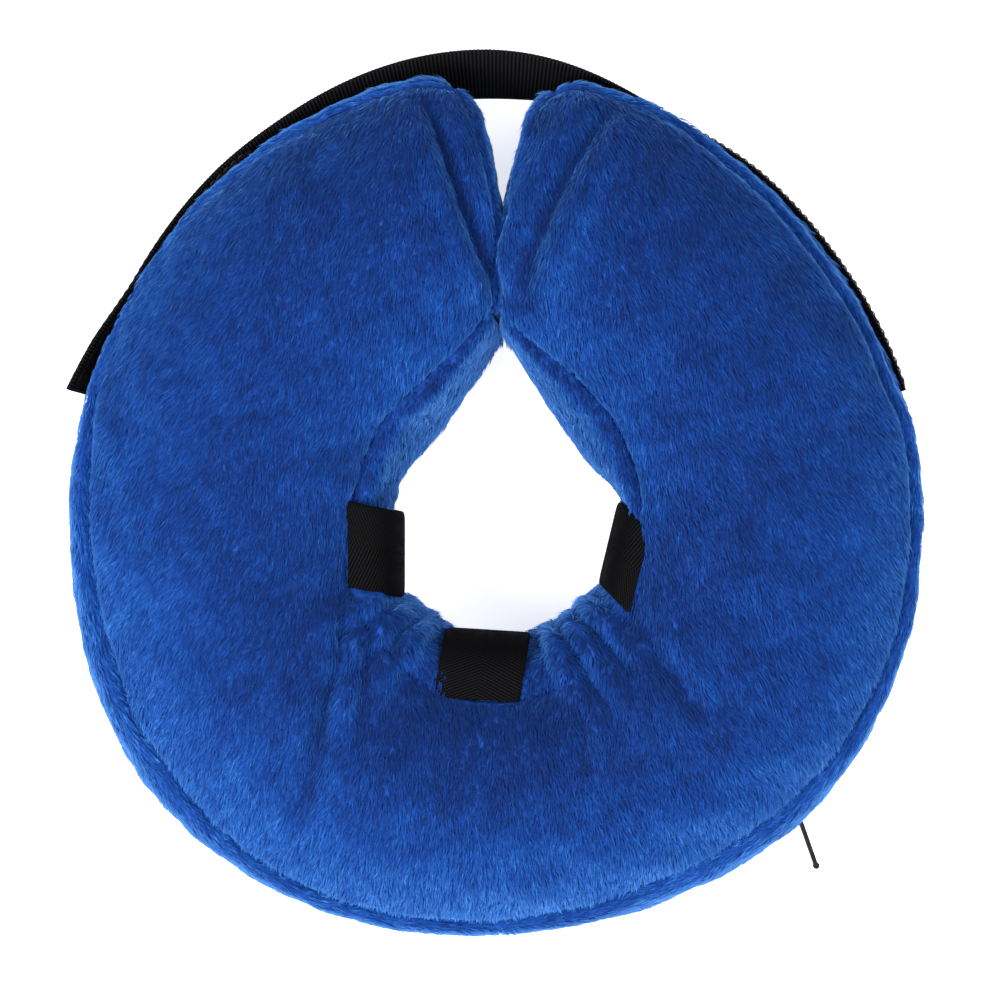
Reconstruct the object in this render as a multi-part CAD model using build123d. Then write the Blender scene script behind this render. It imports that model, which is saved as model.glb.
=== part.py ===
from build123d import *
import os
from math import asin, atan2, cos, pi, sin, tan

os.makedirs("parts", exist_ok=True)

# Driving dimensions, in millimetres. The collar lies on its back panel. The origin is on the
# axis of the neck opening, in the plane that the back panel rests on, and +Y points to the slit.
DEPTH = 84.0                  # back panel to front panel
FABRIC = 2.5                  # plush cloth with its backing
RING_CENTRE = (-5.0, 10.0)    # centre of the outer circle
SEAM_RADIUS = 142.0           # outer circle at the front and back seams
BAND_RADIUS = 149.0           # outer band at its crown
BAND_FLAT = 22.0              # half height of the crown's straight stretch
OPENING_RADIUS = 51.5         # neck opening at the seams
WAIST_RADIUS = 45.0           # neck opening at mid depth
OPENING_APEX = 69.0           # where the opening meets the slit
SLIT_HALF_GAP = 0.4           # half the gap where the lobes lie together
SLIT_CORNER = 98.0            # the lobes part beyond this height
SLIT_TOP = 175.0              # where the slit's cutting shape ends
LEFT_FLARE = 0.22             # sideways run of the slit's left wall for each millimetre up
RIGHT_FLARE = 0.15            # the same for its right wall

# The ring bends at two places, so it is made as a bottom part and two arms.
RIGHT_BEND = -38.0
LEFT_BEND = -142.0
BEND_GAP = 0.5

# Air bladder and its valve, which sits in a pocket behind the zip.
BLADDER_CLEARANCE = 1.5
BLADDER_WALL = 0.8
POCKET_RADIUS = 11.0
POCKET_FLOOR = 133.0
VALVE_FLANGE = 1.2
STEM_RADIUS = 4.0
STEM_BORE = 2.6
STEM_TOP = 138.0
STEM_FOOT = 126.0
PLUG_CLEARANCE = 0.05
PLUG_SHAFT = 3.5
PLUG_CAP_RADIUS = 5.0
PLUG_CAP = 1.5

# Webbing, all 30 mm wide.
WEBBING_WIDTH = 30.0
WEBBING = 2.0
LOOP_WEBBING = 1.6
LOOP_FACE = 35.2              # distance of each loop's inner face from the neck axis
LOOP_SHOULDER = 21.0          # half height of each loop's straight stretch
LOOP_FOOT = 54.5              # distance of its ends from the neck axis, inside the seams
THREAD = 0.3
THREAD_WIDTH = 0.6

# Closing strap, measured round the ring centre from +X.
STRAP_START = 16.5
STRAP_HINGE = 64.0
STRAP_FOLD = 120.0
STRAP_TIP = 164.0
STRAP_LIFT = 11.0             # how far it stands off above the slit
TIP_LIFT = 3.0                # how far its free tip stands off
HINGE_GAP = 0.2               # degrees between two stretches of strap
TAPE_START = 124.0
TAPE_STOP = 168.0
LOOP_TAPE = 2.0
HOOK_TAPE = 1.5
HOOK_WIDTH = 25.0
TAPE_CLEARANCE = 0.35

# Zip, along the crown of the outer band.
ZIP_START = -42.5
ZIP_STOP = -137.5
ZIP_SLOT = 7.0                # half height of the opening in the band
TAPE_REACH = 4.0              # tape sewn into the band's edge
TAPE_INSIDE = 147.4
ZIP_TAPE = 0.6
COIL_INSIDE = 146.8
COIL = 2.0
COIL_GAP = 0.7                # from the zip's centre line to each coil
COIL_WIDTH = 2.4
COIL_BEAD = 1.0
TOOTH_PITCH = 0.95            # degrees
TOOTH_ARC = 0.5               # degrees
SLIDER_ANGLE = -45.0
SLIDER_LENGTH = 9.0
SLIDER_WIDTH = 8.0
SLIDER_PLATE = 1.1
SLIDER_INSIDE = 145.4
SLIDER_OUTSIDE = 149.1
PIVOT_RADIUS = 152.2
PIN_RADIUS = 0.6
EYE_RADIUS = 1.6
PULL_LENGTH = 20.0
PULL_WIDTH = 5.0
PULL_PLATE = 1.6
PULL_LEAN = -25.6             # degrees from the radial direction

MIDDLE = DEPTH / 2


def ring_point(angle, radius):
    """A point in the XY plane, at an angle round the ring centre."""
    turn = angle * pi / 180
    return (RING_CENTRE[0] + radius * cos(turn), RING_CENTRE[1] + radius * sin(turn))


def slab(low, high):
    """Everything between two heights."""
    return Pos(0, 0, (low + high) / 2) * Box(600, 600, high - low)


def prism(points, low, high):
    """A straight-sided solid on a closed outline, between two heights."""
    outline = make_face(Polyline(*points, close=True))
    return Pos(0, 0, low) * extrude(outline, high - low)


def barrel(inset):
    """The whole round body out to the outer band, with its surface moved in by an inset."""
    low = inset
    high = DEPTH - inset
    seam = SEAM_RADIUS - inset
    crown = BAND_RADIUS - inset
    lower_curve = TangentArc((crown, MIDDLE - BAND_FLAT), (seam, low), tangent=(0, -1))
    upper_curve = TangentArc((crown, MIDDLE + BAND_FLAT), (seam, high), tangent=(0, 1))
    edges = [
        Line((0, low), (seam, low)),
        lower_curve,
        Line((crown, MIDDLE - BAND_FLAT), (crown, MIDDLE + BAND_FLAT)),
        upper_curve,
        Line((seam, high), (0, high)),
        Line((0, high), (0, low)),
    ]
    body = revolve(Plane.XZ * make_face(edges), Axis.Z)
    return Pos(*RING_CENTRE) * body


def teardrop(radius, grow):
    """The outline of the neck opening: an arc and two tangent lines that meet at the slit."""
    half_angle = asin(radius / OPENING_APEX)
    apex = OPENING_APEX + grow / sin(half_angle)
    wide = (radius + grow) * cos(half_angle)
    high = (radius + grow) * sin(half_angle)
    return make_face([
        Line((0, apex), (wide, high)),
        ThreePointArc((wide, high), (0, -radius - grow), (-wide, high)),
        Line((-wide, high), (0, apex)),
    ])


def throat(grow):
    """The neck opening through the whole depth, narrowest at the middle."""
    sections = [
        teardrop(OPENING_RADIUS, grow),
        Pos(0, 0, MIDDLE) * teardrop(WAIST_RADIUS, grow),
        Pos(0, 0, DEPTH) * teardrop(OPENING_RADIUS, grow),
    ]
    return loft(sections)


def slit(grow):
    """The gap between the two lobes, widened by the same distance on both sides."""
    side = SLIT_HALF_GAP + grow
    rise = SLIT_TOP - SLIT_CORNER
    return prism(
        [
            (-side, 40),
            (side, 40),
            (side, SLIT_CORNER),
            (side + rise * RIGHT_FLARE, SLIT_TOP),
            (-side - rise * LEFT_FLARE, SLIT_TOP),
            (-side, SLIT_CORNER),
        ],
        -1,
        DEPTH + 1,
    )


def bend_gap(angle):
    """The thin space between the bottom part and an arm."""
    x, y = ring_point(angle, 150)
    return Pos(x, y, MIDDLE) * Rot(0, 0, angle) * Box(300, BEND_GAP, DEPTH + 2)


def bottom_zone():
    """Everything that belongs to the bottom part of the ring."""
    corners = [RING_CENTRE, ring_point(LEFT_BEND, 400), ring_point(RIGHT_BEND, 400)]
    return prism(corners, -1, DEPTH + 1) - bend_gap(LEFT_BEND) - bend_gap(RIGHT_BEND)


def arm_zone(side, bend):
    """Everything that belongs to one arm; side is 1 on the right and -1 on the left."""
    corners = [(0, 300), (0, 60), RING_CENTRE, ring_point(bend, 400), (side * 400, 300)]
    return prism(corners, -1, DEPTH + 1) - bend_gap(bend)


ZONES = {
    "bottom": bottom_zone(),
    "left": arm_zone(-1, LEFT_BEND),
    "right": arm_zone(1, RIGHT_BEND),
}


def flat_panel(low):
    """A front or back panel, one cloth thick, standing on the given height."""
    disc = Pos(*RING_CENTRE) * Circle(SEAM_RADIUS)
    outline = disc - teardrop(OPENING_RADIUS, 0)
    return Pos(0, 0, low) * extrude(outline, FABRIC) - slit(0)


def outer_band():
    """The band round the outside, between the two panels."""
    shell = barrel(0) - barrel(FABRIC)
    return shell & slab(FABRIC, DEPTH - FABRIC)


def inner_band():
    """The band round the neck opening, between the two panels."""
    shell = throat(FABRIC) - throat(0)
    return shell & slab(FABRIC, DEPTH - FABRIC)


def end_panel(side):
    """The cloth that closes one lobe at the slit."""
    wall = (slit(FABRIC) - slit(0)) & slab(FABRIC, DEPTH - FABRIC)
    body = barrel(0) - throat(0)
    zone = "right" if side > 0 else "left"
    return wall & body & ZONES[zone]


def annulus(inside, thickness, start, stop, low, high):
    """A curved bar round the ring centre."""
    outline = make_face([
        ThreePointArc(
            ring_point(start, inside), ring_point((start + stop) / 2, inside), ring_point(stop, inside)
        ),
        Line(ring_point(stop, inside), ring_point(stop, inside + thickness)),
        ThreePointArc(
            ring_point(stop, inside + thickness),
            ring_point((start + stop) / 2, inside + thickness),
            ring_point(start, inside + thickness),
        ),
        Line(ring_point(start, inside + thickness), ring_point(start, inside)),
    ])
    return Pos(0, 0, low) * extrude(outline, high - low)


def valve_cylinder(radius, inside, outside):
    """A round bar on the valve's axis, which is radial at the bottom of the ring."""
    length = outside - inside
    x, y = ring_point(-90, (inside + outside) / 2)
    return Pos(x, y, MIDDLE) * Rot(90, 0, 0) * Cylinder(radius, length)


def bladder_space(inset):
    """The room that the bladder fills, less the valve's pocket."""
    wall = inset - FABRIC - BLADDER_CLEARANCE
    room = barrel(inset) - throat(inset) - slit(inset)
    return room - valve_cylinder(POCKET_RADIUS + wall, POCKET_FLOOR - wall, BAND_RADIUS)


def bladder():
    """The air bladder: a thin-walled ring, closed at both lobes."""
    outside = bladder_space(FABRIC + BLADDER_CLEARANCE)
    inside = bladder_space(FABRIC + BLADDER_CLEARANCE + BLADDER_WALL)
    floor_hole = valve_cylinder(STEM_RADIUS, STEM_FOOT, STEM_TOP)
    return outside - inside - floor_hole


def valve_base():
    """The flange welded to the floor of the bladder's pocket."""
    flange = valve_cylinder(POCKET_RADIUS - 2, POCKET_FLOOR, POCKET_FLOOR + VALVE_FLANGE)
    return flange - valve_cylinder(STEM_RADIUS, STEM_FOOT, STEM_TOP)


def valve_stem():
    """The tube that air goes through."""
    tube = valve_cylinder(STEM_RADIUS, STEM_FOOT, STEM_TOP)
    return tube - valve_cylinder(STEM_BORE, STEM_FOOT - 1, STEM_TOP + 1)


def valve_plug():
    """The stopper: a cap with a shaft that fits the stem."""
    cap = valve_cylinder(PLUG_CAP_RADIUS, STEM_TOP, STEM_TOP + PLUG_CAP)
    shaft = valve_cylinder(STEM_BORE - PLUG_CLEARANCE, STEM_TOP - PLUG_SHAFT, STEM_TOP)
    return cap + shaft


def loop_outline(face):
    """Side view of the space behind a loop's face, from the face out into the band."""
    lean = atan2(LOOP_FOOT - LOOP_FACE, MIDDLE - LOOP_SHOULDER)
    half = LOOP_SHOULDER - (face - LOOP_FACE) * tan(lean / 2)
    foot = half + (LOOP_FOOT - face) / tan(lean)
    return [
        (face, MIDDLE - half),
        (face, MIDDLE + half),
        (LOOP_FOOT, MIDDLE + foot),
        (LOOP_FOOT, MIDDLE - foot),
    ]


def loop_solid(face, width):
    """The space behind a loop's face, for the loop on the right."""
    outline = make_face(Polyline(*loop_outline(face), close=True))
    return Pos(0, width / 2, 0) * extrude(Plane.XZ * outline, width)


def collar_loop(turn):
    """A webbing bridge from the front seam to the back seam, which a pet's own collar goes under."""
    strip = loop_solid(LOOP_FACE, WEBBING_WIDTH) - loop_solid(LOOP_FACE + LOOP_WEBBING, WEBBING_WIDTH + 1)
    return (Rot(0, 0, turn) * strip) & throat(0) & slab(FABRIC, DEPTH - FABRIC)


def collar_loop_stitching(turn):
    """A row of thread across each end of a loop."""
    width = WEBBING_WIDTH - 4
    skin = loop_solid(LOOP_FACE - THREAD, width) - loop_solid(LOOP_FACE, width + 1)
    rows = slab(10, 10 + THREAD_WIDTH) + slab(DEPTH - 10 - THREAD_WIDTH, DEPTH - 10)
    return Rot(0, 0, turn) * (skin & rows)


def strap_radius(angle):
    """The inner face of the strap's free stretch."""
    settled = BAND_RADIUS + LOOP_TAPE + TAPE_CLEARANCE + HOOK_TAPE
    climb = min(1, (angle - STRAP_HINGE) / 40)
    base = BAND_RADIUS + 0.4 + (settled - BAND_RADIUS - 0.4) * climb ** 2 * (3 - 2 * climb)
    bridge = (angle - 92) / 40
    lift = STRAP_LIFT * cos(bridge * pi / 2) ** 2 if abs(bridge) < 1 else 0
    tip = max(0, (angle - 148) / (STRAP_TIP - 148))
    return base + lift + TIP_LIFT * tip ** 2


def strap_stretch(start, stop, offset, thickness, low, high):
    """A stretch of the free strap or of something on it, offset from its inner face."""
    steps = 12
    angles = [start + (stop - start) * step / steps for step in range(steps + 1)]
    inner = [ring_point(angle, strap_radius(angle) + offset) for angle in angles]
    outer = [ring_point(angle, strap_radius(angle) + offset + thickness) for angle in reversed(angles)]
    outline = make_face([
        Spline(*inner),
        Line(inner[-1], outer[0]),
        Spline(*outer),
        Line(outer[-1], inner[0]),
    ])
    return Pos(0, 0, low) * extrude(outline, high - low)


def strap_bridge():
    """The free strap from its hinge line over the slit to its fold."""
    half = WEBBING_WIDTH / 2
    return strap_stretch(STRAP_HINGE, STRAP_FOLD - HINGE_GAP, 0, WEBBING, MIDDLE - half, MIDDLE + half)


def strap_end():
    """The free strap from its fold to its tip, which lies over the left arm."""
    half = WEBBING_WIDTH / 2
    return strap_stretch(STRAP_FOLD, STRAP_TIP, 0, WEBBING, MIDDLE - half, MIDDLE + half)


def webbing_rows(make_row, width):
    """Two rows of thread, one along each edge of a strip of the given width."""
    upper = MIDDLE + width / 2 - 2
    lower = MIDDLE - width / 2 + 2
    return make_row(upper - THREAD_WIDTH, upper) + make_row(lower, lower + THREAD_WIDTH)


def sewn_strap():
    """The stretch of strap sewn to the right arm."""
    half = WEBBING_WIDTH / 2
    return annulus(BAND_RADIUS, WEBBING, STRAP_START, STRAP_HINGE - HINGE_GAP, MIDDLE - half, MIDDLE + half)


def sewn_strap_stitching():
    """Thread along both edges and across both ends of the sewn stretch."""
    outside = BAND_RADIUS + WEBBING
    start = STRAP_START + 1
    stop = STRAP_HINGE - 2
    half = WEBBING_WIDTH / 2 - 2
    rows = webbing_rows(lambda low, high: annulus(outside, THREAD, start, stop, low, high), WEBBING_WIDTH)
    first = annulus(outside, THREAD, start, start + 0.25, MIDDLE - half, MIDDLE + half)
    last = annulus(outside, THREAD, stop - 0.25, stop, MIDDLE - half, MIDDLE + half)
    return rows + first + last


def loop_tape():
    """The fuzzy half of the fastener, sewn to the left arm."""
    half = WEBBING_WIDTH / 2
    return annulus(BAND_RADIUS, LOOP_TAPE, TAPE_START, TAPE_STOP, MIDDLE - half, MIDDLE + half)


def loop_tape_stitching():
    """Thread along both edges of the loop tape, outside the hook tape's width."""
    outside = BAND_RADIUS + LOOP_TAPE
    height = TAPE_CLEARANCE - 0.1

    def row(low, high):
        return annulus(outside, height, TAPE_START + 1, TAPE_STOP - 1, low, high)

    return webbing_rows(row, WEBBING_WIDTH + 2)


def hook_tape():
    """The hook half of the fastener, sewn under the strap's end."""
    half = HOOK_WIDTH / 2
    tape = strap_stretch(TAPE_START, STRAP_TIP - 1, -HOOK_TAPE, HOOK_TAPE, MIDDLE - half, MIDDLE + half)
    return tape - strap_end()


def hook_tape_stitching():
    """Thread along both edges of the hook tape, seen on the strap's outer face."""
    def row(low, high):
        return strap_stretch(TAPE_START, STRAP_TIP - 1, WEBBING, THREAD, low, high)

    return webbing_rows(row, HOOK_WIDTH) - strap_end()


def zip_tape(side):
    """One half of the zip's tape; side is 1 at the front and -1 at the back."""
    near = MIDDLE + side * (COIL_GAP + COIL_BEAD)
    far = MIDDLE + side * (ZIP_SLOT + TAPE_REACH)
    return annulus(TAPE_INSIDE, ZIP_TAPE, ZIP_STOP, ZIP_START, min(near, far), max(near, far))


def zip_coil(side):
    """One row of teeth with the bead that joins them, less the tape they are sewn over."""
    edge = MIDDLE + side * (COIL_GAP + COIL_WIDTH)
    inner = MIDDLE + side * (COIL_GAP + COIL_WIDTH - COIL_BEAD)
    tip = MIDDLE + side * COIL_GAP
    start = ZIP_STOP + 2
    stop = ZIP_START - 2
    row = annulus(COIL_INSIDE, COIL, start, stop, min(edge, inner), max(edge, inner))
    count = int((stop - start) / TOOTH_PITCH)
    shift = TOOTH_PITCH / 2 if side > 0 else 0
    teeth = []
    for index in range(count):
        angle = start + shift + index * TOOTH_PITCH
        teeth.append(annulus(COIL_INSIDE, COIL, angle, angle + TOOTH_ARC, min(tip, inner), max(tip, inner)))
    return row.fuse(*teeth) - zip_tape(side)


def zip_stop(start, stop):
    """The blocks that end the slider's travel."""
    height = COIL_GAP + COIL_WIDTH
    block = annulus(COIL_INSIDE, COIL, start, stop, MIDDLE - height, MIDDLE + height)
    return block - zip_tape(1) - zip_tape(-1)


def slotted_band(band):
    """The bottom of the outer band with the zip's opening and the grooves that hold its tapes."""
    opening = annulus(BAND_RADIUS - 10, 20, ZIP_STOP, ZIP_START, MIDDLE - ZIP_SLOT, MIDDLE + ZIP_SLOT)
    return band - opening - zip_tape(1) - zip_tape(-1)


def at_slider(shape):
    """Carry a shape made along +X, with the ring centre as its origin, round to the slider."""
    return Pos(RING_CENTRE[0], RING_CENTRE[1], MIDDLE) * Rot(0, 0, SLIDER_ANGLE) * shape


def zip_slider():
    """Two plates joined by a neck that runs between the coils, with two ears and a hinge pin."""
    outer = Pos(SLIDER_OUTSIDE + SLIDER_PLATE / 2, 0, 0) * Box(SLIDER_PLATE, SLIDER_LENGTH, SLIDER_WIDTH)
    inner = Pos(SLIDER_INSIDE + SLIDER_PLATE / 2, 0, 0) * Box(SLIDER_PLATE, SLIDER_LENGTH, SLIDER_WIDTH)
    reach = SLIDER_OUTSIDE - SLIDER_INSIDE + SLIDER_PLATE
    neck = Pos(SLIDER_INSIDE + reach / 2, 0, 0) * Box(reach, 3, 0.8)
    ear_height = PIVOT_RADIUS - SLIDER_OUTSIDE
    ear = Pos(SLIDER_OUTSIDE + ear_height / 2, 0, 0) * Box(ear_height, 2 * EYE_RADIUS, 1)
    ear_round = Pos(PIVOT_RADIUS, 0, 0) * Cylinder(EYE_RADIUS, 1)
    ears = Pos(0, 0, 1.8) * (ear + ear_round) + Pos(0, 0, -1.8) * (ear + ear_round)
    pin = Pos(PIVOT_RADIUS, 0, 0) * Cylinder(PIN_RADIUS, 4.6)
    return at_slider(outer + inner + neck + ears + pin)


def zip_pull():
    """A flat pull on the slider's pin: an eye, a neck, a blade and a knob at the end."""
    eye = Cylinder(EYE_RADIUS, 2.2)
    neck = Pos(2.5, 0, 0) * Box(4, PULL_PLATE, 2.2)
    blade_start = 3.2
    blade_length = PULL_LENGTH - blade_start - 1.2
    blade = Pos(blade_start + blade_length / 2, 0, 0) * Box(blade_length, PULL_PLATE, PULL_WIDTH)
    knob = Pos(PULL_LENGTH - 1.2, 0, 0) * Cylinder(1.2, PULL_WIDTH)
    bore = Cylinder(PIN_RADIUS + 0.06, 10)
    pull = eye + neck + blade + knob - bore
    return at_slider(Pos(PIVOT_RADIUS, 0, 0) * Rot(0, 0, PULL_LEAN) * pull)


def write(node, shape):
    export_step(shape, f"parts/{node}.step")


front = flat_panel(DEPTH - FABRIC)
back = flat_panel(0)
band = outer_band() - slit(FABRIC)
lining = inner_band() - slit(FABRIC)
air = bladder()

for part, zone in ZONES.items():
    write(f"front_panel_{part}", front & zone)
    write(f"back_panel_{part}", back & zone)
    write(f"inner_band_{part}", lining & zone)
    write(f"bladder_{part}", air & zone)

write("outer_band_bottom", slotted_band(band & ZONES["bottom"]))
write("outer_band_left", band & ZONES["left"])
write("outer_band_right", band & ZONES["right"])
write("end_panel_left", end_panel(-1))
write("end_panel_right", end_panel(1))

write("valve_base", valve_base())
write("valve_stem", valve_stem())
write("valve_plug", valve_plug())

for name, turn in {"right": 0, "left": 180, "bottom": -90}.items():
    write(f"collar_loop_{name}", collar_loop(turn))
    write(f"collar_loop_{name}_stitching", collar_loop_stitching(turn))

write("strap_sewn", sewn_strap())
write("strap_sewn_stitching", sewn_strap_stitching())
write("strap_bridge", strap_bridge())
write("strap_end", strap_end())
write("loop_tape", loop_tape())
write("loop_tape_stitching", loop_tape_stitching())
write("hook_tape", hook_tape())
write("hook_tape_stitching", hook_tape_stitching())

write("zipper_tape_front", zip_tape(1))
write("zipper_tape_back", zip_tape(-1))
write("zipper_coil_front", zip_coil(1))
write("zipper_coil_back", zip_coil(-1))
write("zipper_top_stop", zip_stop(ZIP_START - 1.6, ZIP_START - 0.6))
write("zipper_bottom_stop", zip_stop(ZIP_STOP + 0.6, ZIP_STOP + 1.6))
write("zipper_slider", zip_slider())
write("zipper_pull", zip_pull())
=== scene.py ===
import math

import bpy
import numpy as np
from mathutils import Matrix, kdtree


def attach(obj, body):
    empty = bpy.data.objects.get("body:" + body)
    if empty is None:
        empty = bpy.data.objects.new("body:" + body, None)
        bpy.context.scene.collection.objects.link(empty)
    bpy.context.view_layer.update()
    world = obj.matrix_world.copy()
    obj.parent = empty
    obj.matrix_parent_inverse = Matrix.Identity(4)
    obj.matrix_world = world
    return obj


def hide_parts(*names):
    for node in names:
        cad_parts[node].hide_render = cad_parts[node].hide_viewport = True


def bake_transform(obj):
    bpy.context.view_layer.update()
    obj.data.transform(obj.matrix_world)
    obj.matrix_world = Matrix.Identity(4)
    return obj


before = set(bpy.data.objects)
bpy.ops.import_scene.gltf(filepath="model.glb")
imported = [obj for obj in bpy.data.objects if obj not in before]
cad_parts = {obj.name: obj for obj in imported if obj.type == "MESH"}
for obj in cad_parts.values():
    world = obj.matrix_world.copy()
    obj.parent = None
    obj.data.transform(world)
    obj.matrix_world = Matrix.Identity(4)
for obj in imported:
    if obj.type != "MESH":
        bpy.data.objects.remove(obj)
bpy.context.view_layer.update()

# Lengths are in millimetres until a mesh is made.
MM = 0.001
RING_CENTRE = np.array([-5.0, 10.0])
MIDDLE = 42.0                 # mid depth, where the strap and the zip run
RING_STEPS = 240              # cells round the ring
FACE_STEPS = 34               # cells across the front and back panels
WALL_STEPS = 26               # cells down the bands
LEFT_CORNER = 93.6            # degrees round the ring centre, where the left lobe ends
RIGHT_CORNER = 443.9
ROUND_LENGTH = 885.0          # of the front panel's outer seam, from lobe to lobe
FACE_WIDTH = 90.0             # of the front panel, from the opening to the outer seam
CORNER_RADIUS = 17.0          # of the lobes, seen from the front
STRAP_START = 16.5
STRAP_HINGE = 64.0
STRAP_JOIN = 113.0            # where the strap's two pieces meet, behind the left lobe
STRAP_TIP = 164.0
TAPE_START = 124.0
TAPE_STOP = 165.0
ZIP_START = -42.5
ZIP_STOP = -137.5
ZIP_FLOOR = 144.8             # bottom of the groove that the zip runs in
ZIP_SLOT = 6.0                # half height of the opening behind the zip
ZIP_CLEAR = 7.0               # half height of the strip with no pile, so that the slider can run
LOOP_COVER = 13.8             # half width of the strip with no pile under a loop
VALVE_ACROSS = -5.0           # X of the valve's axis, which is radial at the ring's bottom
POCKET_RADIUS = 12.0
POCKET_FLOOR = 132.7
STRAP_RIB = 1.35              # spacing of the strap's woven ribs
LOOP_RIB = 1.1
LOOP_SLANT = 0.4              # ribs passed for each millimetre across a loop
PRESSURE = 4.0
CLOTH_FRAMES = 20
MOST_MOVE = 5.0               # of a point, while the cover fills
UNDER_STRAP = 1.3             # from the middle of the strap or tape to the cloth that it presses
FILM_DEPTH = 7.5              # from the cover's surface in to the bladder's film
CLOTH = 1.6                   # thickness of the cover's cloth
FILM = 0.5
WEBBING_WIDTH = 30.0
STRAP_THICKNESS = 1.8
LOOP_THICKNESS = 1.5
LOOP_SEWN = (0.025, 0.055, 0.945, 0.975)      # where a loop is sewn, in shares of its length
STRAP_STEP = 0.34             # between the rows of the strap's mesh, fine enough for its ribs
STITCH_PITCH = 3.2
BAND_RADIUS = 150.0           # the outer band's radius, near enough to turn angles into lengths
DEGREE = BAND_RADIUS * math.pi / 180      # length of a degree there
PANELS = ("front_panel", "back_panel", "outer_band", "inner_band", "end_panel")

# Each loop's middle at the seams and at its crest, and the way its width runs.
LOOPS = {
    "left": {"seam": (-56.0, -1.0), "crest": (-37.8, -5.0), "width": (0.0, 1.0)},
    "right": {"seam": (45.2, -11.2), "crest": (35.9, -1.2), "width": (0.23, 0.97)},
    "bottom": {"seam": (-11.4, -55.2), "crest": (-7.6, -32.6), "width": (1.0, -0.06)},
}


# ---------------------------------------------------------------- shape of the ring

def bump(angle, centre, reach):
    """1 at an angle, falling smoothly to 0 at a reach on both sides."""
    away = np.abs((angle - centre + 180) % 360 - 180)
    return np.where(away < reach, np.cos(np.minimum(away / reach, 1) * math.pi / 2) ** 2, 0)


def smooth_step(value):
    value = np.clip(value, 0, 1)
    return value * value * (3 - 2 * value)


def direction(angle):
    turn = np.radians(angle)
    return np.stack([np.cos(turn), np.sin(turn)], axis=-1)


def swollen(value, angle, swells):
    """A value that is larger or smaller near some places: each is an angle, a reach and a size."""
    for place, reach, size in swells:
        value = value + size * bump(angle, place, reach)
    return value


def crest_radius(angle):
    """The outer band at its fullest, a little squarer than a circle."""
    swells = ((223, 50, 7.8), (323, 40, 4.2), (278, 24, -0.9), (92, 60, 4.6), (36, 34, -1.2))
    return swollen(148.4, angle, swells)


def strap_radius(angle):
    """Middle of the strap's thickness, from the ring centre: snug, with its tip flared out."""
    layers = 0.5 * smooth_step((angle - TAPE_START + 6) / 12)
    tip = 4.6 * np.clip((angle - 147) / (STRAP_TIP - 147), 0, 1) ** 1.8
    sewn = 1.6 * inside_of(angle, STRAP_START, 50, 14)
    return crest_radius(angle) + 0.5 + layers + tip + sewn + 1.9 * bump(angle, 95, 28)


def tape_radius(angle):
    """Middle of the loop tape's thickness, under the strap."""
    return np.minimum(strap_radius(angle) - 2.5, crest_radius(angle) - 0.6)


def tape_lean(angle):
    """How far the loop tape's front edge leans outwards, in radians."""
    reach = np.where(angle < 92, 26, 62)
    return math.radians(29) * bump(angle, 92, reach) ** 0.6


def strap_lean(angle):
    """How far the strap's front edge leans outwards, in radians."""
    return tape_lean(angle) + math.radians(9) * smooth_step((angle - 146) / 12)


def seam_inset(angle):
    """How far the front seam lies inside the crest: most at the lower left and lower right."""
    return swollen(0.8, angle, ((212, 75, 10.2), (306, 62, 8.0), (15, 60, 1.8)))


# Centre and radius of the opening, the sideways shift of the two slit walls at the top, and
# places where the opening is wider or narrower.
OUTLINES = {
    "front": {
        "centre": (-5.0, -4.5), "radius": 51.0, "apex": 75.5, "left": -2.0, "right": 1.5,
        "swells": ((122, 42, 8.0), (60, 52, 10.5)),
    },
    "crest": {
        "centre": (-2.5, 2.5), "radius": 40.6, "apex": 77.0, "left": 0.0, "right": 0.0,
        "swells": ((145, 40, 1.6), (196, 32, 4.2), (305, 45, -2.8), (16, 26, 3.6)),
    },
    "back": {
        "centre": (-1.0, 1.0), "radius": 50.0, "apex": 75.0, "left": -3.0, "right": 3.0,
        "swells": (),
    },
}


def teardrop(angle, outline):
    """The opening's edge: a circle with two tangent lines that meet below the slit."""
    centre = np.array(outline["centre"])
    rise = outline["apex"] - centre[1]
    tangent = math.acos(outline["radius"] / rise)
    away = np.abs(np.radians((angle - 90 + 180) % 360 - 180))
    radius = outline["radius"] / np.cos(np.maximum(0, tangent - away))
    radius = swollen(radius, angle, outline["swells"])
    return centre + radius[..., None] * direction(angle)


def round_corner(along, inward):
    """Rounds the lobe's corner: distances from the slit and from the outer edge, in millimetres."""
    a = np.clip(CORNER_RADIUS - along, 0, None) / CORNER_RADIUS
    b = np.clip(CORNER_RADIUS - inward, 0, None) / CORNER_RADIUS
    both = (a > 0) & (b > 0)
    new_a = np.where(both, a * np.sqrt(1 - b ** 2 / 2), a)
    new_b = np.where(both, b * np.sqrt(1 - a ** 2 / 2), b)
    return along + (a - new_a) * CORNER_RADIUS, inward + (b - new_b) * CORNER_RADIUS


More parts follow.
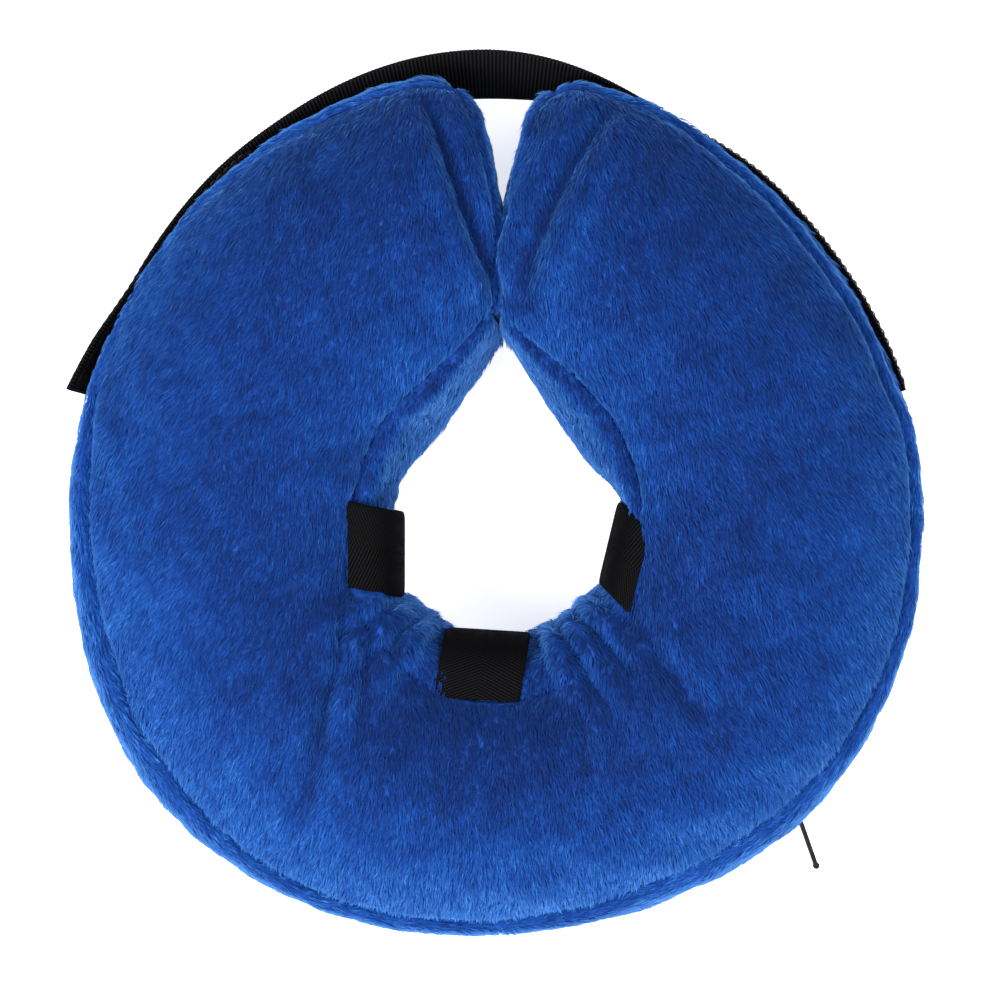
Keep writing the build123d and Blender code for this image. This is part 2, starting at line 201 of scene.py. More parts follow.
def plan(u, v, kind):
    """A point of an outline's face seen from the front. u runs round the ring from the left lobe
    to the right one, and v outwards from the opening."""
    outline = OUTLINES[kind]
    near = np.minimum(u, 1 - u) * ROUND_LENGTH
    along, inward = round_corner(near, (1 - v) * FACE_WIDTH)
    u = np.where(u < 0.5, along, ROUND_LENGTH - along) / ROUND_LENGTH
    v = 1 - inward / FACE_WIDTH
    outer_angle = LEFT_CORNER + (RIGHT_CORNER - LEFT_CORNER) * u
    radius = crest_radius(outer_angle)
    if kind == "front":
        radius = radius - seam_inset(outer_angle)
    if kind == "back":
        radius = radius - 9.0
    outer = RING_CENTRE + radius[..., None] * direction(outer_angle)
    inner = teardrop(90 + 360 * u, outline)
    point = inner + (outer - inner) * v[..., None]
    reach = np.exp(-(near / 22) ** 2)
    wave = np.sin(math.pi * np.clip(v, 0, 1) ** 0.8)
    left = 4.6 * wave + outline["left"] * v
    right = -3.6 * wave + outline["right"] * v
    point[..., 0] += reach * np.where(u < 0.5, left, right)
    return point


def full(value, power):
    """A dome over 0..1, with a flatter top and steeper sides than a parabola."""
    return np.clip(1 - np.abs(2 * value - 1) ** power, 0, 1)


def face_grid():
    u, v = np.meshgrid(
        np.linspace(0, 1, RING_STEPS + 1), np.linspace(0, 1, FACE_STEPS + 1), indexing="ij"
    )
    return u, v


def front_face():
    """The crowned front panel. Its outer seam lies lower where it's close to the crest."""
    u, v = face_grid()
    xy = plan(u, v, "front")
    near = np.minimum(u, 1 - u) * ROUND_LENGTH
    end = 1 - (1 - np.clip(near / 34, 0, 1)) ** 2.4
    angle = LEFT_CORNER + (RIGHT_CORNER - LEFT_CORNER) * u
    low = bump(angle, 228, 150)
    drop = 7 * low * v ** 2 + 13 * np.clip(1 - seam_inset(angle) / 7, 0, 1) * v ** 4
    z = 74 - drop + (12 + 3.5 * low * v) * full(v, 2.7 - 0.7 * low) ** 0.85 * end
    return np.concatenate([xy, z[..., None]], axis=-1)


def back_face():
    """The back panel, flattened where it rests."""
    u, v = face_grid()
    xy = plan(u, v, "back")
    near = np.minimum(u, 1 - u) * ROUND_LENGTH
    end = 1 - (1 - np.clip(near / 24, 0, 1)) ** 3
    z = 9 - 9 * full(v, 3.4) * end
    return np.concatenate([xy, z[..., None]], axis=-1)


def edge_of(grid):
    """The closed edge of a face: outer edge, right slit wall, opening, left slit wall."""
    return np.concatenate([grid[:-1, -1], grid[-1, :0:-1], grid[:0:-1, 0], grid[0, :-1]])


def wall_points(top, foot, crest, share):
    """Points of the bands: from the front edge to the back edge, out to the crest midway."""
    slow = np.cos(share * math.pi)
    drop = 0.5 - 0.5 * slow * (0.75 + 0.25 * np.abs(slow))
    belly = full(share, 2.4) ** 0.7
    xy = top[..., :2] * (1 - share) + foot[..., :2] * share
    xy = xy + (crest - (top[..., :2] + foot[..., :2]) / 2) * belly
    z = top[..., 2:] * (1 - drop) + foot[..., 2:] * drop
    return np.concatenate([xy, z], axis=-1)


def ring_mesh():
    """The whole cover as one closed surface: vertices, quads, and the number of each quad's panel,
    which is higher by the count of panels on the right half."""
    front = front_face()
    back = back_face()
    crest = edge_of(plan(*face_grid(), "crest"))
    top = edge_of(front)
    foot = edge_of(back)
    count = len(top)
    share = np.linspace(0, 1, WALL_STEPS + 1)[1:-1, None, None]
    wall = wall_points(top[None], foot[None], crest[None], share)
    vertices = np.concatenate([front.reshape(-1, 3), back.reshape(-1, 3), wall.reshape(-1, 3)])

    index = np.arange((RING_STEPS + 1) * (FACE_STEPS + 1)).reshape(RING_STEPS + 1, FACE_STEPS + 1)
    front_quads = np.stack(
        [index[:-1, :-1], index[:-1, 1:], index[1:, 1:], index[1:, :-1]], axis=-1
    ).reshape(-1, 4)
    back_quads = (front_quads + index.size)[:, ::-1]
    rows = [edge_of(index)]
    for step in range(WALL_STEPS - 1):
        rows.append(2 * index.size + step * count + np.arange(count))
    rows.append(edge_of(index) + index.size)
    rows = np.array(rows)
    following = np.roll(rows, -1, axis=1)
    wall_quads = np.stack([rows[:-1], rows[1:], following[1:], following[:-1]], axis=-1)
    on_edge = np.arange(count)
    inner_start = RING_STEPS + FACE_STEPS
    stretches = [on_edge < RING_STEPS, on_edge < inner_start, on_edge < inner_start + RING_STEPS]
    wall_panel = np.select(stretches, [2, 4, 3], 4)
    wall_side = np.select(
        stretches, [on_edge >= RING_STEPS // 2, 1, on_edge < inner_start + RING_STEPS // 2], 0
    )
    face_side = np.repeat(np.arange(RING_STEPS) >= RING_STEPS // 2, FACE_STEPS)
    quads = np.concatenate([front_quads, back_quads, wall_quads.reshape(-1, 4)])
    panels = np.concatenate([
        np.zeros(len(front_quads), int),
        np.ones(len(back_quads), int),
        np.tile(wall_panel, WALL_STEPS),
    ])
    sides = np.concatenate([face_side, face_side, np.tile(wall_side, WALL_STEPS)])
    return vertices, quads, panels + len(PANELS) * sides.astype(int)


# ---------------------------------------------------------------- mesh helpers

def make_object(name, vertices, faces, materials=(), face_slots=None, smooth=True):
    """A mesh object from arrays in millimetres; every face has the same number of corners."""
    mesh = bpy.data.meshes.new(name)
    vertices = np.asarray(vertices, float) * MM
    faces = np.asarray(faces, np.int32)
    corners = faces.shape[1]
    mesh.vertices.add(len(vertices))
    mesh.vertices.foreach_set("co", vertices.ravel())
    mesh.loops.add(faces.size)
    mesh.loops.foreach_set("vertex_index", faces.ravel())
    mesh.polygons.add(len(faces))
    mesh.polygons.foreach_set("loop_start", np.arange(0, faces.size, corners, dtype=np.int32))
    mesh.polygons.foreach_set("loop_total", np.full(len(faces), corners, np.int32))
    for material in materials:
        mesh.materials.append(material)
    if face_slots is not None:
        mesh.polygons.foreach_set("material_index", np.asarray(face_slots, np.int32))
    mesh.polygons.foreach_set("use_smooth", np.full(len(faces), smooth))
    mesh.update(calc_edges=True)
    mesh.validate()
    piece = bpy.data.objects.new(name, mesh)
    bpy.context.scene.collection.objects.link(piece)
    return piece


def apply_modifiers(piece):
    """Bakes an object's modifiers into its mesh."""
    graph = bpy.context.evaluated_depsgraph_get()
    mesh = bpy.data.meshes.new_from_object(piece.evaluated_get(graph))
    old = piece.data
    piece.modifiers.clear()
    piece.data = mesh
    mesh.name = piece.name
    bpy.data.meshes.remove(old)


def mesh_arrays(mesh):
    """Vertices in millimetres, quads and material numbers of a mesh of quads."""
    vertices = np.empty(len(mesh.vertices) * 3)
    mesh.vertices.foreach_get("co", vertices)
    faces = np.empty(len(mesh.loops), np.int32)
    mesh.loops.foreach_get("vertex_index", faces)
    slots = np.empty(len(mesh.polygons), np.int32)
    mesh.polygons.foreach_get("material_index", slots)
    return vertices.reshape(-1, 3) / MM, faces.reshape(-1, 4), slots


def vertex_normals(vertices, quads):
    """Area-weighted unit normals."""
    corner = vertices[quads]
    cross = np.cross(corner[:, 2] - corner[:, 0], corner[:, 3] - corner[:, 1])
    normals = np.zeros_like(vertices)
    for side in range(4):
        np.add.at(normals, quads[:, side], cross)
    return normals / np.maximum(np.linalg.norm(normals, axis=1, keepdims=True), 1e-12)


def keep_faces(quads, chosen):
    """The vertices that some of the faces need, and those faces with the vertices' new numbers."""
    used, renumbered = np.unique(quads[chosen], return_inverse=True)
    return used, renumbered.reshape(-1, 4)


def ripple(points, scale, seed):
    """Smooth noise in about -1..1 from a few waves in fixed random directions."""
    rng = np.random.default_rng(seed)
    total = np.zeros(len(points))
    for _ in range(7):
        wave = rng.normal(size=3)
        wave *= (0.6 + 0.8 * rng.random()) * 2 * math.pi / scale / np.linalg.norm(wave)
        total += np.sin(points @ wave + rng.random() * 2 * math.pi)
    return total / 3.2


# ---------------------------------------------------------------- materials

def new_material(name, colour, roughness, **inputs):
    """A material with a plain Principled shader."""
    material = bpy.data.materials.new(name)
    material.use_nodes = True
    shader = material.node_tree.nodes["Principled BSDF"]
    shader.inputs["Base Color"].default_value = (*colour, 1)
    shader.inputs["Roughness"].default_value = roughness
    for key, value in inputs.items():
        shader.inputs[key.replace("_", " ")].default_value = value
    return material


def add_node(material, kind, **settings):
    node = material.node_tree.nodes.new(kind)
    for key, value in settings.items():
        if key in node.inputs:
            node.inputs[key].default_value = value
        else:
            setattr(node, key, value)
    return node


def link(material, source, target):
    material.node_tree.links.new(source, target)


def noise_colour(material, dark, light, scale, detail=4.0, spread=(0.35, 0.65)):
    """Mottles a material's colour between two shades, and gives the node of its coordinates."""
    place = add_node(material, "ShaderNodeTexCoord")
    noise = add_node(material, "ShaderNodeTexNoise", Scale=scale, Detail=detail)
    ramp = add_node(material, "ShaderNodeValToRGB")
    ramp.color_ramp.elements[0].position = spread[0]
    ramp.color_ramp.elements[0].color = (*dark, 1)
    ramp.color_ramp.elements[1].position = spread[1]
    ramp.color_ramp.elements[1].color = (*light, 1)
    shader = material.node_tree.nodes["Principled BSDF"]
    link(material, place.outputs["Object"], noise.inputs["Vector"])
    link(material, noise.outputs["Fac"], ramp.inputs["Fac"])
    link(material, ramp.outputs["Color"], shader.inputs["Base Color"])
    return place


def add_bump(material, height, strength, distance):
    bump_node = add_node(material, "ShaderNodeBump", Strength=strength, Distance=distance)
    shader = material.node_tree.nodes["Principled BSDF"]
    link(material, height, bump_node.inputs["Height"])
    link(material, bump_node.outputs["Normal"], shader.inputs["Normal"])


def plush_backing():
    """The cloth under the pile: a fine blue knit, mottled where the pile parts."""
    material = new_material(
        "plush_backing", (0.008, 0.05, 0.27), 0.9, Specular_IOR_Level=0.1
    )
    place = noise_colour(material, (0.004, 0.028, 0.17), (0.012, 0.07, 0.34), 260.0)
    fine = add_node(material, "ShaderNodeTexNoise", Scale=1400.0, Detail=3.0)
    link(material, place.outputs["Object"], fine.inputs["Vector"])
    add_bump(material, fine.outputs["Fac"], 0.6, 0.0006)
    return material


PILE_SHADES = (
    (0.0008, 0.011, 0.088), (0.0012, 0.018, 0.130), (0.0018, 0.029, 0.186), (0.0032, 0.044, 0.245),
    (0.007, 0.067, 0.310), (0.018, 0.105, 0.390), (0.042, 0.160, 0.470),
)


def pile_materials():
    """Shades of the pile's strands, from the deepest to the palest, for their random tone and for
    painted light and shade.
    """
    return [
        new_material(
            f"pile_shade_{number + 1}", colour, 0.7, Specular_IOR_Level=0.08, Sheen_Weight=1.0,
            Sheen_Roughness=0.5, Sheen_Tint=(0.12, 0.38, 1, 1),
        )
        for number, colour in enumerate(PILE_SHADES)
    ]


def webbing_material(name, rib, slant, dot, top):
    """Black woven nylon, whose map runs along and across the webbing in millimetres. Its ribs lie
    across it or slant by the same amount on both sides of its middle, and are made of dots."""
    material = new_material(name, (0.004, 0.004, 0.0045), 0.7, Specular_IOR_Level=0.02)
    place = add_node(material, "ShaderNodeUVMap")
    split = add_node(material, "ShaderNodeSeparateXYZ")
    link(material, place.outputs["UV"], split.inputs["Vector"])

    def math_node(operation, first, second, third=0.0):
        node = add_node(material, "ShaderNodeMath", operation=operation)
        for socket, value in zip(node.inputs, (first, second, third)):
            if isinstance(value, float):
                socket.default_value = value
            else:
                link(material, value, socket)
        return node.outputs[0]

    side = math_node("ABSOLUTE", split.outputs["Y"], 0.0)
    turn = math_node("MULTIPLY", side, 2 * math.pi * slant)
    turn = math_node("MULTIPLY_ADD", split.outputs["X"], 2 * math.pi / rib, turn)
    ribs = math_node("COSINE", turn, 0.0)
    dots = math_node("COSINE", math_node("MULTIPLY", split.outputs["Y"], 2 * math.pi / dot), 0.0)
    yarn = math_node("MULTIPLY", ribs, math_node("MULTIPLY_ADD", dots, 0.45, 0.55))
    fibre = add_node(material, "ShaderNodeTexNoise", Scale=2.2, Detail=3.0)
    link(material, place.outputs["UV"], fibre.inputs["Vector"])
    height = math_node("MULTIPLY_ADD", fibre.outputs["Fac"], 1.2, yarn)
    add_bump(material, height, 0.6, 0.00012)
    tone = add_node(material, "ShaderNodeMapRange")
    tone.inputs["From Min"].default_value = 0.2
    tone.inputs["From Max"].default_value = 1.6
    link(material, height, tone.inputs["Value"])
    colour = add_node(material, "ShaderNodeValToRGB")
    colour.color_ramp.elements[0].color = (0.0008, 0.0008, 0.0009, 1)
    colour.color_ramp.elements[1].color = (top, top, top * 1.1, 1)
    link(material, tone.outputs["Result"], colour.inputs["Fac"])
    shader = material.node_tree.nodes["Principled BSDF"]
    link(material, colour.outputs["Color"], shader.inputs["Base Color"])
    return material


def mottled(name, dark, light, scale, roughness, bump_scale=0.0, depth=0.0, **inputs):
    """A material with mottled colour and, if asked, a fine grain."""
    material = new_material(name, light, roughness, **inputs)
    place = noise_colour(material, dark, light, scale)
    if depth:
        grain = add_node(material, "ShaderNodeTexNoise", Scale=bump_scale, Detail=2.0)
        link(material, place.outputs["Object"], grain.inputs["Vector"])
        add_bump(material, grain.outputs["Fac"], 0.5, depth)
    return material


MATERIALS = {
    "backing": plush_backing(),
    "webbing": webbing_material("strap_webbing", STRAP_RIB, 0.0, 0.75, 0.022),
    "loop_webbing": webbing_material("loop_webbing", LOOP_RIB, LOOP_SLANT, 1.0, 0.011),
    "thread": mottled("black_thread", (0.004, 0.004, 0.004), (0.02, 0.02, 0.021), 3000, 0.6),
    "fastener": mottled(
        "hook_and_loop", (0.001, 0.001, 0.001), (0.009, 0.009, 0.01), 1100, 0.9, 1300, 0.0008,
        Specular_IOR_Level=0.08,
    ),
    "film": new_material("bladder_film", (0.75, 0.8, 0.84), 0.18, Transmission_Weight=0.35),
    "vinyl": mottled("valve_vinyl", (0.72, 0.74, 0.76), (0.82, 0.84, 0.85), 300, 0.35),
    "zip_tape": mottled(
        "zip_tape", (0.002, 0.016, 0.085), (0.004, 0.03, 0.14), 1500, 0.85, 2400, 0.0003,
        Specular_IOR_Level=0.15,
    ),
    "coil": mottled("zip_coil", (0.004, 0.03, 0.15), (0.008, 0.05, 0.22), 800, 0.45),
    "enamel": mottled(
        "black_enamel", (0.006, 0.006, 0.007), (0.02, 0.02, 0.022), 700, 0.28,
        900, 0.0001, Metallic=0.6,
    ),
}


# ---------------------------------------------------------------- cover

# Angles round the neck axis, in degrees, where the opening's edge is gathered into a ridge.
PUCKERS = (-157, -146, -135, -66, -53, -40)
PUCKER_HEIGHT = 6.2
# Folds of the front panel: where each starts and ends, how far it bows to its left, its half
# width and its depth.
FOLDS = (
    ((-57, -18), (-66, -68), 2.5, 2.6, 2.2),
    ((-62, -40), (-74, -100), 2.5, 4.0, 2.0),
    ((-50, -28), (-53, -62), 2.5, 3.0, 1.6),
    ((22, -52), (24, -78), 2.5, 3.0, 1.8),
    ((44, -34), (64, -60), 2.5, 4.5, 2.2),
    ((-30, 158), (-2, 82), -0.5, 3.4, 4.4),
    ((36, 154), (2, 82), -4.0, 4.4, 4.6),
)


# The pile's shades, its strands on each half of a panel, their widths and how far they stand up.
PILE = pile_materials()
PILE_COUNT = {
    "front_panel": 33000, "back_panel": 26000, "outer_band": 33000, "inner_band": 17000,
    "end_panel": 9000,
}
PILE_WIDTH = {
    "front_panel": (0.3, 0.52), "back_panel": (0.42, 0.72), "outer_band": (0.34, 0.6),
    "inner_band": (0.36, 0.62), "end_panel": (0.34, 0.6),
}
PILE_LIFT = {
    "front_panel": 1.0, "back_panel": 0.3, "outer_band": 0.8, "inner_band": 1.1, "end_panel": 0.9,
}


def nearest_distance(points, targets):
    """Distance from each point to the nearest target."""
    tree = kdtree.KDTree(len(targets))
    for number, target in enumerate(targets):
        tree.insert(target, number)
    tree.balance()
    return np.array([tree.find(point)[2] for point in points])


def near_opening(points, level, reach):
    """1 at the opening's front edge, taken at a level, falling to 0 over a reach."""
    edge = plan(np.linspace(0, 1, 200), np.zeros(200), "front")
    edge = np.concatenate([edge, np.full((200, 1), level)], axis=1)
    return np.exp(-(nearest_distance(points, edge) / reach) ** 2)


def pucker_height(points):
    """Seeds the gathers: ridges that run from the opening's crest out over the front seam."""
    angle = np.degrees(np.arctan2(points[:, 1], points[:, 0]))
    height = np.full(len(points), -0.35)
    for centre in PUCKERS:
        height += bump(angle, centre, 7.8)
    return height


def seam_points(vertices, quads, panels):
    """The vertices that lie between two panels."""
    low = np.full(len(vertices), 99)
    high = np.full(len(vertices), -1)
    for side in range(4):
        np.minimum.at(low, quads[:, side], panels % len(PANELS))
        np.maximum.at(high, quads[:, side], panels % len(PANELS))
    return vertices[low != high]


def inflate(ring, vertices, quads, panels):
    """Fills the cover with air as cloth: the seams hold it, and the gathered cloth round the
    opening has some to spare. No point moves further than a cap."""
    seam = nearest_distance(vertices, seam_points(vertices, quads, panels))
    held = np.exp(-(seam / 2.0) ** 2)
    for name, weights in (("held", held), ("gathered", near_opening(vertices, 72.0, 30))):
        group = ring.vertex_groups.new(name=name)
        for number in np.flatnonzero(weights > 0.02):
            group.add([int(number)], float(weights[number]), "REPLACE")
    cloth = ring.modifiers.new("inflate", "CLOTH")
    settings = cloth.settings
    settings.quality = 5
    settings.mass = 0.15
    settings.tension_stiffness = 8
    settings.compression_stiffness = 8
    settings.shear_stiffness = 4
    settings.bending_stiffness = 0.2
    settings.use_pressure = True
    settings.uniform_pressure_force = PRESSURE
    settings.effector_weights.gravity = 0
    settings.vertex_group_mass = "held"
    settings.vertex_group_shrink = "gathered"
    settings.shrink_min = 0
    settings.shrink_max = -0.16
    for step in range(1, CLOTH_FRAMES + 1):
        bpy.context.scene.frame_set(step)
    graph = bpy.context.evaluated_depsgraph_get()
    blown = mesh_arrays(ring.evaluated_get(graph).data)[0]
    ring.modifiers.remove(cloth)
    bpy.context.scene.frame_set(1)
    move = blown - vertices
    reach = np.linalg.norm(move, axis=1, keepdims=True)
    move *= np.minimum(1, MOST_MOVE / np.maximum(reach, 1e-6))
    ring.data.vertices.foreach_set("co", ((vertices + move) * MM).ravel())
    ring.data.update()


def cover_surface():
    """The cover's fine surface: the inflated ring, once subdivided."""
    vertices, quads, panels = ring_mesh()
    normals = vertex_normals(vertices, quads)
    gathered = near_opening(vertices, 64.0, 19) * (vertices[:, 1] < 45) * (vertices[:, 2] > 20)
    height = PUCKER_HEIGHT * gathered * pucker_height(vertices)
    vertices = vertices + normals * height[:, None]
    ring = make_object("ring", vertices, quads, [MATERIALS["backing"]] * 2 * len(PANELS), panels)
    inflate(ring, vertices, quads, panels)
    ring.modifiers.new("fine", "SUBSURF").levels = 1
    apply_modifiers(ring)
    vertices, quads, panels = mesh_arrays(ring.data)
    bpy.data.objects.remove(ring)
    return vertices, quads, panels


def fold_depth(points):
    """Long soft folds of the front panel: a valley with a low ridge on each side."""
    depth = np.zeros(len(points))
    for start, end, bow, width, deep in FOLDS:
        start, end = np.array(start, float), np.array(end, float)
        run = end - start
        offset = points[:, :2] - start
        share = offset @ run / (run @ run)
        sideways = (offset @ np.array([-run[1], run[0]])) / np.linalg.norm(run)
        sideways = sideways - bow * np.sin(math.pi * np.clip(share, 0, 1))
        ends = np.clip(1 - (2 * share - 1) ** 4, 0, 1) * (share > 0) * (share < 1)
        near = (sideways / width) ** 2
        depth += deep * ends * (np.exp(-near) - 0.45 * np.exp(-(np.sqrt(near) - 1.9) ** 2))
    return depth * (points[:, 2] > 60)


def ring_place(points):
    """Angle and radius round the ring's centre."""
    offset = points[:, :2] - RING_CENTRE
    return np.degrees(np.arctan2(offset[:, 1], offset[:, 0])), np.linalg.norm(offset, axis=1)


def inside_of(value, low, high, soft):
    """1 between two values, with a soft edge outside them."""
    return smooth_step((value - low) / soft + 1) * smooth_step((high - value) / soft + 1)


def strap_face(points):
    """The radius of the strap's middle at each point's angle and height, as it leans there."""
    angle, _ = ring_place(points)
    return strap_radius(angle) + (points[:, 2] - MIDDLE) * np.tan(strap_lean(angle))


def press_in(points):
    """Presses the outer band in under the strap and the tapes, and along the zip."""
    angle, radius = ring_place(points)
    height = np.abs(points[:, 2] - MIDDLE)
    strap = inside_of(angle, STRAP_START, STRAP_TIP - 2, 2) * inside_of(height, -1, 14, 5)
    tape_face = tape_radius(angle) + (points[:, 2] - MIDDLE) * np.tan(tape_lean(angle))
    on_tape = (angle > TAPE_START - 2) & (angle < TAPE_STOP + 2)
    strap_floor = np.where(on_tape, tape_face, strap_face(points)) - UNDER_STRAP
    zip_line = inside_of(angle, ZIP_STOP, ZIP_START, 2) * inside_of(height, -1, 4.5, 4)
    sink = np.maximum(
        strap * np.clip(radius - strap_floor, 0, None),
        zip_line * np.clip(radius - ZIP_FLOOR, 0, None),
    )
    shoulder = inside_of(angle, 20, 56, 10) * inside_of(height, 18, 34, 5)
    sink = (sink + 2.0 * shoulder) * (radius > 120)        # the outer band only
    moved = points.copy()
    moved[:, :2] -= direction(angle) * sink[:, None]
    return moved


def hidden_seam(points):
    """1 where the pile hides the seam: round the opening's lower part and over the lobes."""
    angle, radius = ring_place(points)
    low_rim = inside_of(points[:, 1], -80, 6, 8) * inside_of(radius, 0, 76, 6)
    lobe = inside_of(angle, 70, 160, 6) * inside_of(radius, 128, 170, 6)
    right_wall = inside_of(points[:, 0], 1, 22, 2) * inside_of(points[:, 1], 84, 180, 6)
    return np.maximum(low_rim, np.maximum(lobe, right_wall))


def press_pocket(points):
    """Sinks the bladder's pocket for the valve."""
    across = np.hypot(points[:, 0] - VALVE_ACROSS, points[:, 2] - MIDDLE)
    _, radius = ring_place(points)
    above_floor = (points[:, 1] < -100) & (radius > POCKET_FLOOR)
    share = smooth_step((POCKET_RADIUS - across) / 2) * above_floor
    moved = points.copy()
    moved[:, 1] += share * (radius - POCKET_FLOOR)
    return moved


def split_cover():
    """Every cloth panel in two halves, left and right of the ring's bottom, as vertices, quads,
    normals and distances to the nearest seam."""
    vertices, quads, panels = cover_surface()
    normals = vertex_normals(vertices, quads)
    seam = nearest_distance(vertices, seam_points(vertices, quads, panels))
    sink = fold_depth(vertices) + (2.6 - 1.9 * hidden_seam(vertices)) * np.exp(-(seam / 1.7) ** 2)
    sink += 0.5 * ripple(vertices, 34, 21) + 0.25 * ripple(vertices, 13, 22)
    bladder = press_pocket(press_in(vertices) - normals * FILM_DEPTH)
    vertices = press_in(vertices - normals * sink[:, None])
    normals = vertex_normals(vertices, quads)
    middles = vertices[quads].mean(axis=1)
    angle, _ = ring_place(middles)
    slot = (np.abs(middles[:, 2] - MIDDLE) < ZIP_SLOT) & (angle > ZIP_STOP) & (angle < ZIP_START)
    halves = {}
    for number in range(2 * len(PANELS)):
        panel = PANELS[number % len(PANELS)]
        side = "left" if number < len(PANELS) else "right"
        chosen = panels == number
        if panel == "outer_band":
            chosen &= ~slot
        used, faces = keep_faces(quads, chosen)
        halves[f"{panel}_{side}"] = (vertices[used], faces, normals[used], seam[used])
    return halves, (bladder, quads, panels >= len(PANELS))


def bend_with(piece):
    """Bakes a piece's place into its mesh."""
    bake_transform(piece)


def thicken(piece, thickness):
    """Gives an open surface a thickness inwards, which closes it."""
    solid = piece.modifiers.new("cloth", "SOLIDIFY")
    solid.thickness = thickness * MM
    solid.offset = -1
    solid.use_even_offset = False
    apply_modifiers(piece)


def pile_flow(points, normals, panel):
    """The way the pile lies: outwards and down the front, and along the bands."""
    flow = np.zeros_like(points)
    if panel == "outer_band":
        angle, _ = ring_place(points)
        turn = np.tanh(((290 - angle) % 360 - 20) / 12) * np.tanh((95 - angle) % 360 / 5)
        way = np.where((angle - 90) % 360 < 200, 1, -1)
        flow[:, :2] = direction(angle + 90) * (way * np.abs(turn))[:, None]
    else:
        spread = {"front_panel": 0.75, "back_panel": 0.75}.get(panel, 0.1)
        flow[:, 0] = (points[:, 0] - RING_CENTRE[0]) / 150 * spread
        flow[:, 1] = -1
    flow[:, 2] = {"outer_band": -0.16, "inner_band": -0.35, "end_panel": -0.5}.get(panel, -0.05)
    flow -= normals * np.sum(flow * normals, axis=1, keepdims=True)
    flow /= np.maximum(np.linalg.norm(flow, axis=1, keepdims=True), 1e-6)
    side = np.cross(normals, flow)
    swirl = 0.13 * ripple(points, 40, 11) + 0.13 * ripple(points, 12, 12)
    swirl = swirl + 0.2 * ripple(points, 3.6, 14)
    return flow * np.cos(swirl)[:, None] + side * np.sin(swirl)[:, None]


def uncovered(points, panel):
    """True where no webbing or zip lies on the cloth."""
    if panel == "inner_band":
        free = np.ones(len(points), bool)
        for loop in LOOPS.values():
            crest = np.array(loop["crest"])
            across = (points[:, :2] - crest) @ np.array(loop["width"])
            free &= (np.abs(across) > LOOP_COVER) | (points[:, :2] @ crest < 0)
        return free
    if panel != "outer_band":
        return np.ones(len(points), bool)
    angle, _ = ring_place(points)
    height = np.abs(points[:, 2] - MIDDLE)
    sewn = (angle > STRAP_START) & (angle < STRAP_HINGE + 4)
    sewn |= (angle > TAPE_START) & (angle < TAPE_STOP)
    zip_line = (height < ZIP_CLEAR) & (angle > ZIP_STOP) & (angle < ZIP_START)
    return ~((sewn & (height < WEBBING_WIDTH / 2)) | zip_line)


def flattened(points, panel):
    """True where the free stretch of the strap presses the pile flat."""
    angle, radius = ring_place(points)
    bridge = (angle > STRAP_HINGE) & (angle < TAPE_START + 1) & (np.abs(points[:, 2] - MIDDLE) < 17)
    return bridge & (radius > strap_face(points) - 3.5) & (panel == "outer_band")


def scatter(half, count, rng):
    """Random points on a panel, evenly over its area, with their normals and seam distances."""
    vertices, faces, normals, seam = half
    corners = vertices[faces]
    area = np.linalg.norm(
        np.cross(corners[:, 2] - corners[:, 0], corners[:, 3] - corners[:, 1]), axis=1
    )
    chosen = rng.choice(len(faces), size=count, p=area / area.sum())
    s, t = rng.random((2, count))
    weights = np.stack([(1 - s) * (1 - t), s * (1 - t), s * t, (1 - s) * t], axis=1)
    root = np.einsum("ij,ijk->ik", weights, corners[chosen])
    normal = np.einsum("ij,ijk->ik", weights, normals[faces[chosen]])
    normal /= np.linalg.norm(normal, axis=1, keepdims=True)
    return root, normal, np.sum(weights * seam[faces[chosen]], axis=1)


